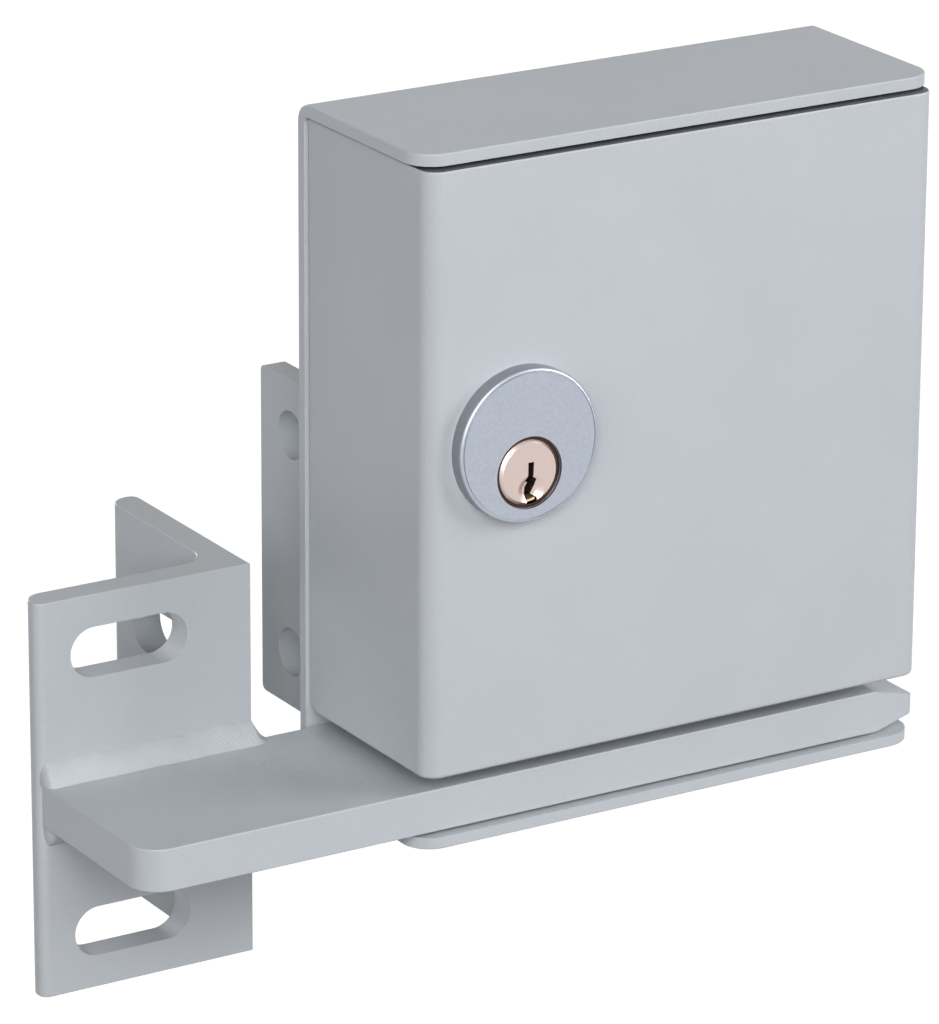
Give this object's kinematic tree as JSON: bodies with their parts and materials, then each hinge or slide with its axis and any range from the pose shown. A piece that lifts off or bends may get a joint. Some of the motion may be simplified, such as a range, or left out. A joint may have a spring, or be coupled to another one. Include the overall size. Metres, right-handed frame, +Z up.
{
  "type": "gate lock",
  "caption": "Box-shaped electric gate lock with a key cylinder, a drop bolt and a post tab, and its strike: a flat bar welded to a slotted steel angle.",
  "frame": {"origin": "midway between the two post bolt holes, on the face of the tab that lies on the post", "axes": "+X along the strike bar, from the strike's angle towards its nose; -Y is the front of the lock, where the key goes in; +Z is up, and the bolt drops along -Z"},
  "size_m": [0.1828, 0.0976, 0.1778],
  "materials": {
    "powder_coat": "fine-textured satin powder coat, light grey",
    "satin_chrome": "satin, fine circular brushing",
    "nickel_silver": "nickel plated, fine turned finish",
    "plain_brass": "machined",
    "hard_steel": "ground and hardened",
    "plated_sheet": "zinc plated sheet",
    "plated_screw": "zinc plated",
    "spring_steel": "bright drawn wire",
    "cast_housing": "die cast, as cast",
    "slide_plastic": "natural slide plastic",
    "magnet": "nickel plated magnet",
    "black_plastic": "moulded",
    "green_plastic": "moulded",
    "board_laminate": "solder mask",
    "capacitor_can": "sleeved can",
    "rubber_bush": "matt"
  },
  "bodies": {
    "lock_body": {"back_frame": "powder_coat", "post_tab": "powder_coat", "tab_welds": "powder_coat", "front_cover": "powder_coat", "cover_screws": "plated_screw", "cable_bush": "rubber_bush", "cylinder_shell": "satin_chrome", "cylinder_nut": "plain_brass", "chassis": "plated_sheet", "chassis_screws": "plated_screw", "guide_rods": "hard_steel", "rod_clips": "plated_screw", "bolt_bush": "plain_brass", "circuit_board": "board_laminate", "board_standoffs": "plated_sheet", "board_screws": "plated_screw", "terminal_block": "green_plastic", "relay": "black_plastic", "capacitors": "capacitor_can", "return_spring_1": "spring_steel", "return_spring_2": "spring_steel"},
    "key": {"key_plug": "nickel_silver", "key_cam": "plain_brass", "cam_screws": "plated_screw"},
    "carriage": {"carriage_plate": "plated_sheet", "carriage_runners": "slide_plastic", "gearbox_housing": "cast_housing", "motor_can": "plated_sheet", "motor_cap": "slide_plastic", "motor_standoffs": "plated_sheet", "motor_screws": "plated_screw", "position_sensor": "black_plastic"},
    "pinion": {"drive_pinion": "hard_steel", "output_shaft": "hard_steel"},
    "bolt": {"locking_bolt": "hard_steel", "bolt_rack": "hard_steel", "rack_screws": "plated_screw", "sensor_magnet": "magnet"},
    "strike": {"strike_angle": "powder_coat", "strike_bar": "powder_coat", "strike_welds": "powder_coat"}
  },
  "joints": [
    {"name": "strike_slide", "type": "slide", "parent": "lock_body", "child": "strike", "axis": [1, 0, 0], "range_m": [-0.13, 0]},
    {"name": "carriage_lift", "type": "slide", "parent": "lock_body", "child": "carriage", "axis": [0, 0, 1], "range_m": [0, 0.0177], "stiffness_N_per_m": 300, "springref_m": -0.01, "deforming": ["return_spring_1", "return_spring_2"]},
    {"name": "key_turn", "type": "hinge", "parent": "lock_body", "child": "key", "pos_m": [0.0109, -0.0664, 0.03235], "axis": [0, -1, 0], "range_deg": [0, 80]},
    {"name": "bolt_slide", "type": "slide", "parent": "carriage", "child": "bolt", "axis": [0, 0, -1], "range_m": [0, 0.018]},
    {"name": "pinion_turn", "type": "hinge", "parent": "carriage", "child": "pinion", "pos_m": [0.0644, -0.0327, 0.0362], "axis": [0, -1, 0], "range_deg": [0, 148]}
  ],
  "couplings": [
    {"joint": "key_turn", "follows": "carriage_lift", "rad_per_m": 78.88},
    {"joint": "pinion_turn", "follows": "bolt_slide", "rad_per_m": 142.86}
  ]
}
